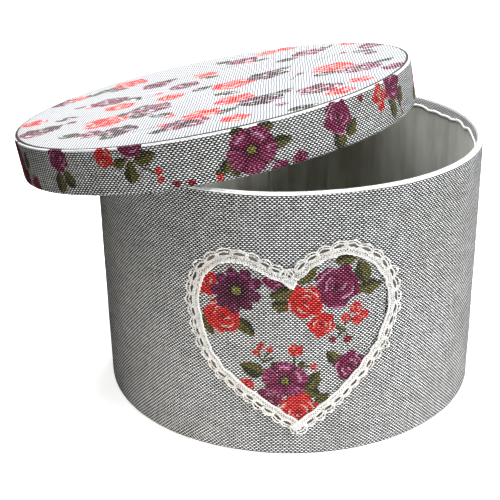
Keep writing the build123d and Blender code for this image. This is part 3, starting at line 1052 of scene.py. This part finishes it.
def through(points, steps):
    """A smooth curve through points: a natural cubic spline by chord length."""
    points = np.array(points, float)
    knots = np.concatenate([[0], np.cumsum(np.linalg.norm(np.diff(points, axis=0), axis=1))])
    gaps = np.diff(knots)
    count = len(points)
    matrix = np.eye(count)
    slopes = np.zeros((count, 2))
    for k in range(1, count - 1):
        matrix[k, k - 1:k + 2] = gaps[k - 1], 2 * (gaps[k - 1] + gaps[k]), gaps[k]
        rise = (points[k + 1] - points[k]) / gaps[k] - (points[k] - points[k - 1]) / gaps[k - 1]
        slopes[k] = 6 * rise
    second = np.linalg.solve(matrix, slopes)
    at = np.linspace(0, knots[-1], steps)
    k = np.clip(np.searchsorted(knots, at, side="right") - 1, 0, count - 2)
    gap, before, after = gaps[k][:, None], (at - knots[k])[:, None], (knots[k + 1] - at)[:, None]
    cubic = (second[k] * after**3 + second[k + 1] * before**3) / (6 * gap)
    first = (points[k] / gap - second[k] * gap / 6) * after
    last = (points[k + 1] / gap - second[k + 1] * gap / 6) * before
    return cubic + first + last


LEFT_SIDE = through([HEART_NOTCH, *HEART_LEFT, HEART_TIP], 400)
RIGHT_SIDE = through([HEART_NOTCH, *HEART_RIGHT, HEART_TIP], 400)


def on_wall(girth, height, proud):
    """World points on the wall, standing proud of the cloth by so much."""
    return BOX.out(girth / BOX_RADIUS, BOX_RADIUS + proud, height)


def heart_patch():
    """The printed heart: glued flat, its edge a little lifted under the lace."""
    middle = np.array((3.5, 78.0))
    outline = np.vstack([LEFT_SIDE[:-1:3], RIGHT_SIDE[:0:-3]])
    away = outline - middle
    away *= 1 + PATCH_UNDER_LACE / np.linalg.norm(away, axis=1, keepdims=True)
    rings = np.concatenate([np.linspace(0, 1, 30), np.linspace(1, 0, 30)])
    front = np.concatenate([np.full(30, 1.0), np.full(30, 0.0)])
    flat = middle + away[:, None] * rings[None, :, None]
    pucker = ripples(51, 10, 24, 0.1)
    turn = np.arctan2(away[:, 0], away[:, 1])[:, None]
    lift = 0.12 * (1 + pucker(turn, 12 * rings[None])) * ease(rings, 0.75, 1.0)[None]
    proud = 0.04 + (PATCH - 0.04) * front[None] + lift
    points = on_wall(flat[..., 0], flat[..., 1], proud)
    uv = np.concatenate([flat, flat[:1]])
    cloth = cloth_material("heart_print", HEART_PRINT)
    piece = grid_piece("heart_patch_cloth", points, uv, True, False, cloth)
    return finish_piece(piece, "box", "printed_cloth", "heart_patch")


class LaceRun:
    """A stretch of the heart's outline that a length of lace follows."""

    def __init__(self, line, before, after, side):
        start = line[0] - unit(line[1] - line[0]) * before
        end = line[-1] + unit(line[-1] - line[-2]) * after
        line = np.vstack([start, line, end])
        gaps = np.linalg.norm(np.diff(line, axis=0), axis=1)
        self.along = np.concatenate([[0], np.cumsum(gaps)])
        self.line = line
        tangent = np.gradient(line, axis=0)
        tangent /= np.linalg.norm(tangent, axis=1, keepdims=True)
        self.outward = side * np.stack([-tangent[:, 1], tangent[:, 0]], axis=1)
        self.length = self.along[-1]

    def at(self, along, across, proud):
        """World points along the lace, across it from its inner edge, and off the wall."""
        along = np.clip(along, 0, self.length)
        point = [np.interp(along, self.along, self.line[:, k]) for k in (0, 1)]
        out = [np.interp(along, self.along, self.outward[:, k]) for k in (0, 1)]
        return on_wall(point[0] + out[0] * across, point[1] + out[1] * across, proud)


# The pitch of the lace's scallops, and the spacing of points along its threads.
LACE_UNIT = 6.6
LACE_STEP = 0.5


def lace_threads(run, seed):
    """(along, across, proud, thickness) of every thread of the edging."""
    draw = np.random.default_rng(seed)
    length = run.length
    sweep = np.arange(0, length, LACE_STEP)
    lean = ripples(seed, 6, 9, 0.0)
    round_lace = 2 * np.pi / length

    def wavering(along):
        return 0.24 * lean(along * round_lace, 0)

    def add(along, across, proud, thickness):
        plied = thickness * (1 + 0.16 * np.sin(2 * np.pi * along / 1.3 + across))
        low = 0.25 + 0.45 * (1 - ease(across, 2.0, 4.0))
        ripple = 0.26 * np.sin(2 * np.pi * along / 9.0 + seed) + 0.16 * lean(along * 0.5, 0)
        threads.append((along, across + wavering(along), proud + low + ripple, plied))

    def zigzag(near, far, pitch, proud, thickness):
        count = int(length / pitch)
        fine = np.linspace(0, 1, 6)
        along, across = [], []
        for k in range(count):
            for way, (a, b) in enumerate(((near, far), (far, near))):
                along.append((k + (way + fine) / 2) * pitch)
                across.append(a + (b - a) * fine)
        add(np.concatenate(along), np.concatenate(across), proud, thickness)

    threads = []
    add(sweep, 0.4 + 0.05 * np.sin(sweep * 4.0), 0.55, 0.46)
    add(sweep + 0.2, 1.2 + 0.08 * np.sin(sweep * 2.4), 0.35, 0.34)
    add(sweep, 3.2 + 0.10 * np.sin(sweep * 1.9), 0.35, 0.36)
    wave = np.cos(2 * np.pi * sweep / LACE_UNIT)
    add(sweep, 4.15 - 0.22 * wave, 0.45, 0.40)
    add(sweep, 6.1 + 0.32 * wave, 0.5, 0.46)
    zigzag(1.2, 3.2, 1.6, 0.25, 0.26)
    zigzag(3.2, 4.1, 1.3, 0.25, 0.26)
    for k in range(int(length / LACE_UNIT) + 1):
        post = k * LACE_UNIT + LACE_UNIT / 2
        if post + 1 > length:
            continue
        for shift in (-0.75, 0.0, 0.75):
            t = np.linspace(0, 1, 6)
            sway = draw.uniform(-0.15, 0.15)
            add(post + shift * (1 - 0.4 * t) + sway, 4.1 + 2.1 * t, 0.55, 0.36)
        t = np.linspace(0, 1, 16)
        tall = draw.uniform(1.3, 2.5)
        bulge = tall * np.sin(np.pi * t) ** 0.6
        add(post + LACE_UNIT * t, 6.2 + bulge, 0.45 + 0.25 * np.sin(np.pi * t), 0.40)
        ring = np.linspace(0, 2 * np.pi, 14)
        knot = post + LACE_UNIT / 2
        add(knot + 0.55 * np.cos(ring), 6.1 + tall + 0.45 * np.sin(ring), 0.6, 0.30)
    return threads


# The dark strip of painted shade under the lace, as far out from the lace's inner edge.
SHADE_STRIP_INNER = 3.9
SHADE_STRIP_OUTER = 6.2


def lace_piece(name, line, before, after, side, seed, ends, tucks):
    """One length of crochet edging: every thread a tube, over a dark strip of painted shade.

    ends are how far its two ends are lifted over the next length; tucks are places
    along it (share of its length) where it is gathered up, and how far.
    """
    run = LaceRun(line, before, after, side)
    points, quads, uvs = [], [], []

    def add(grid, wrap):
        rows, columns = grid.shape[:2]
        row, column = grid_quads(rows, columns, False, wrap)
        base = sum(len(p) for p in points)
        middle = grid.mean(axis=1)
        far = np.linalg.norm(np.diff(middle, axis=0), axis=1)
        far = np.concatenate([[0], np.cumsum(far)])
        points.append(grid.reshape(-1, 3))
        quads.append(base + row * columns + column % columns)
        uvs.append(np.stack([far[row], column / columns], -1))
        return len(row)

    def gathered(along):
        return [(size, np.exp(-(((along - share * run.length) / 3.2) ** 2)))
                for share, size in tucks]

    for along, across, proud, thickness in lace_threads(run, seed):
        inside = (along >= 0) & (along <= run.length)
        if inside.sum() < 3:
            continue
        along = along[inside]
        across, proud, thickness = (
            np.broadcast_to(v, inside.shape)[inside] for v in (across, proud, thickness)
        )
        proud = proud + ends[0] * (1 - ease(along, 2, 8))
        proud = proud + ends[1] * ease(along, run.length - 8, run.length - 2)
        for size, near in gathered(along):
            proud = proud + size * near * (0.6 + 0.4 * np.sin(across * 1.7))
            across = across * (1 + 0.10 * size * near) + 0.3 * near * np.sin(along * 2.1)
        path = run.at(along, across, proud)
        normal = path * np.array((1.0, 1.0, 0.0))
        normal /= np.linalg.norm(normal, axis=1, keepdims=True)
        add(tube(path, normal, thickness), True)
    threads = sum(len(q) for q in quads)
    along = np.arange(0.5, run.length - 0.5, 1.0)
    wander = ripples(seed + 100, 8, 60, 0.0)(along / run.length, 0)
    # A dark sheet just off the cloth under the eyelets: painted shade.
    edges = [(SHADE_STRIP_INNER, 0.0), (SHADE_STRIP_INNER, 0.03), (SHADE_STRIP_OUTER, 0.03), (SHADE_STRIP_OUTER, 0.0)]
    strip = [run.at(along, edge + 0.2 * wander, PATCH + 0.16 + up) for edge, up in edges]
    add(np.stack(strip, axis=1), True)
    piece = mesh_piece(name, np.concatenate(points), np.concatenate(quads),
                       np.concatenate(uvs), LACE)
    piece.data.materials.append(LACE_SHADE)
    for face in piece.data.polygons[threads:]:
        face.material_index = 1
    return finish_piece(piece, "box", "lace", name.replace("_threads", ""))


def lace():
    """Four lengths: one round each lobe and one down each side, overlapping at the ends."""
    left_join = np.argmax((LEFT_SIDE[:, 1] < LEFT_LACE_JOIN) & (LEFT_SIDE[:, 0] < -40))
    right_join = np.argmax((RIGHT_SIDE[:, 1] < RIGHT_LACE_JOIN) & (RIGHT_SIDE[:, 0] > 40))
    lace_piece("lace_left_lobe_threads", LEFT_SIDE[:left_join], 1.5, 2.0, -1, 61,
               (1.0, 0.8), [(0.62, 1.1), (0.72, 1.3), (0.83, 0.9)])
    lace_piece("lace_left_side_threads", LEFT_SIDE[left_join:], 2.0, 5.5, -1, 62,
               (0.0, 0.0), [(0.06, 0.8), (0.2, 0.5)])
    lace_piece("lace_right_lobe_threads", RIGHT_SIDE[:right_join], 1.0, 2.0, 1, 63,
               (0.0, 0.8), [(0.45, 0.6), (0.72, 0.8), (0.9, 0.9)])
    lace_piece("lace_right_side_threads", RIGHT_SIDE[right_join:], 2.0, 5.5, 1, 64,
               (0.0, 0.9), [(0.22, 1.4)])


# ---------------------------------------------------------------- pieces of the lid

def lid_top_cover():
    """The printed cloth over the lid's top, turned down inside the strip."""
    slack = ripples(71, 8, 7, 0.04)

    def dress(angle, radius, height):
        loose = 0.10 * slack(angle, radius) * ease(radius, 10, 60)
        return 0 * radius, loose * (height > TOP_LOW + 0.5)

    corners = [
        (0, TOP_HIGH, 0),
        (TOP_RADIUS - 0.03, TOP_HIGH, 1.9),
        (TOP_RADIUS - 0.03, TOP_LOW, 0),
        (TOP_RADIUS - CLOTH, TOP_LOW, 0),
        (TOP_RADIUS - CLOTH, TOP_HIGH - CLOTH, 0.8),
        (0, TOP_HIGH - CLOTH, 0),
    ]
    cloth = cloth_material("lid_top_print", TOP_PRINT, ribs=0.5)
    piece = turned("lid_top_cover_cloth", LID, corners, cloth, False, 480, 5.0, dress, True)
    return finish_piece(piece, "lid", "printed_cloth", "lid_top_cover")


def lid_rim_cover():
    """The printed strip, folded over the top edge and hemmed inside the skirt."""
    slack = ripples(72, 10, 20, 0.06)
    fine = ripples(73, 12, 70, 0.2)

    def dress(angle, radius, height):
        lap = 0.3 * ease(angle, np.pi - 0.085, np.pi - 0.08)
        outer = ease(radius, SKIRT_HEM_INNER + 1, LID_RADIUS - 0.8)
        loose = 0.07 * slack(angle, height) + 0.03 * fine(angle, height) + lap
        return loose * outer, 0 * height

    corners = [
        (LID_RADIUS, SKIRT_LOW, 1.4),
        (LID_RADIUS, TOP_HIGH - 0.2, 1.1),
        (LID_RADIUS - 1.3, TOP_HIGH - 0.2, 0.1),
        (LID_RADIUS - 1.3, TOP_HIGH - 0.6, 0),
        (LID_RADIUS - CLOTH, TOP_HIGH - 1.6, 0.4),
        (LID_RADIUS - CLOTH, SKIRT_LOW + CLOTH, 0.2),
        (SKIRT_HEM_INNER + CLOTH, SKIRT_LOW + CLOTH, 0.2),
        (SKIRT_HEM_INNER + CLOTH, SKIRT_LOW + SKIRT_HEM, 0),
        (SKIRT_HEM_INNER, SKIRT_LOW + SKIRT_HEM, 0),
        (SKIRT_HEM_INNER, SKIRT_LOW, 1.4),
    ]
    girth = 2 * math.pi * LID_RADIUS
    turn = TOP_HIGH - SKIRT_LOW - 0.2
    # Painted highlight along the rounding of the strip's top edge.
    cloth = cloth_material("lid_rim_print", STRIP_PRINT, girth / 2, fold=turn)
    piece = turned("lid_rim_cover_cloth", LID, corners, cloth, True, 720, 2.5, dress)
    return finish_piece(piece, "lid", "printed_cloth", "lid_rim_cover")


def lid_padding():
    """The soft pad under the top board."""
    lump = ripples(81, 10, 9, 0.07)

    def dress(angle, radius, height):
        return -0.4 * (1 + lump(angle, height)), -0.1 * lump(angle, radius) * (height > PAD_LOW + 1)

    corners = [
        (0, PAD_LOW, 0),
        (PAD_RADIUS, PAD_LOW, 1.2),
        (PAD_RADIUS, PAD_HIGH, 1.2),
        (0, PAD_HIGH - 0.1, 0),
    ]
    piece = turned("lid_padding_wadding", LID, corners, WADDING, False, 240, 6.0, dress, True)
    return finish_piece(piece, "lid", "wadding", "lid_padding")


def lid_lining():
    """The satin underside: drawn in to its edge in small gathers over the wadding."""
    gather = ripples(82, 14, 90, 0.02)
    dimple = ripples(83, 9, 8, 0.05)

    def dress(angle, radius, height):
        edge = ease(radius, PAD_RADIUS - 22, PAD_RADIUS - 4)
        rise = 0.25 * (1 + dimple(angle, radius)) * ease(radius, 5, 40)
        return 0 * radius, 0.5 * (rise + 0.3 * (1 + gather(angle, radius)) * edge)

    corners = [
        (0, UNDERSIDE, 0),
        (PAD_RADIUS, UNDERSIDE, 0),
        (PAD_RADIUS, UNDERSIDE + SATIN, 0),
        (0, UNDERSIDE + SATIN, 0),
    ]
    piece = turned("lid_lining_satin", LID, corners, SATIN_CLOTH, False, 720, 4.0, dress, True)
    return finish_piece(piece, "lid", "satin", "lid_lining")


def lid_rim_lining():
    """The satin strip inside the skirt, lightly gathered."""
    fold = pleats(84, 40, 0.006, 0.03, 0.02, 0.12)

    def dress(angle, radius, height):
        inner = radius < SKIRT_HEM_INNER - 0.1
        return 0.15 * inner - np.minimum(fold(angle), 0.25) * inner, 0 * radius

    corners = [
        (SKIRT_INNER, SKIRT_LINING_LOW, 0.15),
        (SKIRT_INNER, UNDERSIDE, 0),
        (SKIRT_HEM_INNER, UNDERSIDE, 0),
        (SKIRT_HEM_INNER, SKIRT_LINING_LOW, 0.15),
    ]
    piece = turned("lid_rim_lining_satin", LID, corners, SATIN_CLOTH, True, 720, 3.0, dress)
    return finish_piece(piece, "lid", "satin", "lid_rim_lining")


def hidden_nodes():
    """Materials for the CAD nodes that stay as they are, inside the cloth."""
    boards = ("wall_board", "floor_board", "floor_card", "lid_board", "lid_rim_board")
    for node in (*boards, "wall_seam_tape", "lid_seam_tape"):
        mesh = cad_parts[node].data
        mesh.materials.clear()
        mesh.materials.append(BOARD if node in boards else TAPE)


# ---------------------------------------------------------------- studio

def studio_floor():
    """A pale floor and four pale walls far round it."""
    mesh = bpy.data.meshes.new("studio_floor")
    reach = 15.0
    rise = 12.0
    square = [(-reach, -reach), (reach, -reach), (reach, reach), (-reach, reach)]
    corners = [(x, y, z) for z in (0, rise) for x, y in square]
    walls = [(k, k + 4, (k + 1) % 4 + 4, (k + 1) % 4) for k in range(4)]
    mesh.from_pydata(corners, [], [(0, 1, 2, 3), *walls])
    material, _, shader = new_material("studio_floor")
    shader.inputs["Base Color"].default_value = (0.93, 0.93, 0.93, 1.0)
    shader.inputs["Roughness"].default_value = 0.9
    shader.inputs["Emission Color"].default_value = (1.0, 1.0, 1.0, 1.0)
    shader.inputs["Emission Strength"].default_value = 0.72
    mesh.materials.append(material)
    floor = bpy.data.objects.new("studio_floor", mesh)
    bpy.context.scene.collection.objects.link(floor)
    floor.location.z = -0.0002
    floor.visible_diffuse = False
    floor.visible_glossy = False


def lamp(name, place, aim, size, watts, colour):
    """A round soft lamp at a place, turned to aim at a point."""
    data = bpy.data.lights.new(name, "AREA")
    data.shape = "DISK"
    data.size = size
    data.energy = watts
    data.color = colour
    light = bpy.data.objects.new(name, data)
    bpy.context.scene.collection.objects.link(light)
    light.location = place
    way = Vector(aim) - Vector(place)
    light.rotation_euler = way.to_track_quat("-Z", "Y").to_euler()


def studio_light():
    """One lamp above, one at the side, two low in front and one behind."""
    world = bpy.data.worlds.new("studio")
    bpy.context.scene.world = world
    world.use_nodes = True
    sky = world.node_tree.nodes["Background"]
    sky.inputs["Color"].default_value = (1.0, 0.97, 0.92, 1.0)
    sky.inputs["Strength"].default_value = 0.035
    lamp("overhead", (-0.10, -0.03, 1.15), (0, 0, 0.1), 0.45, 21.3, (0.98, 0.99, 1.0))
    lamp("side", (1.15, -0.52, 0.58), (0, 0, 0.1), 0.5, 25.0, (0.95, 0.975, 1.0))
    lamp("bounce left", (-0.12, -0.31, 0.02), (-0.06, 0, 0.04), 0.16, 1.2, (1.0, 0.985, 0.96))
    lamp("bounce right", (0.24, -0.25, 0.02), (0.06, 0, 0.03), 0.16, 0.95, (1.0, 1.0, 1.0))
    lamp("back fill", (0.15, 1.25, 0.60), (0, 0, 0.1), 0.6, 15.0, (1.0, 1.0, 1.0))
    view = bpy.context.scene.view_settings
    view.view_transform = "Standard"
    view.look = "None"


def camera():
    """The camera: where it stands, and how it is turned, tipped and rolled."""
    lens, back, up = 72.94, -0.6145, 0.3417
    yaw, pitch, roll = (math.radians(v) for v in (-2.35, 23.2, -1.02))
    ahead = Vector((math.sin(yaw) * math.cos(pitch), math.cos(yaw) * math.cos(pitch),
                    -math.sin(pitch)))
    right = Vector((math.cos(yaw), -math.sin(yaw), 0))
    over = right.cross(ahead)
    right, over = (math.cos(roll) * right + math.sin(roll) * over,
                   math.cos(roll) * over - math.sin(roll) * right)
    data = bpy.data.cameras.new("camera")
    data.lens = lens
    data.sensor_width = 36.0
    eye = bpy.data.objects.new("camera", data)
    bpy.context.scene.collection.objects.link(eye)
    turn = Matrix((right, over, -ahead)).transposed().to_4x4()
    eye.matrix_world = Matrix.Translation((0, back, up)) @ turn
    bpy.context.scene.camera = eye


camera()
studio_floor()
studio_light()
wall_cover()
base_cover()
wall_lining()
floor_lining()
heart_patch()
lace()
lid_top_cover()
lid_rim_cover()
lid_padding()
lid_lining()
lid_rim_lining()
hidden_nodes()
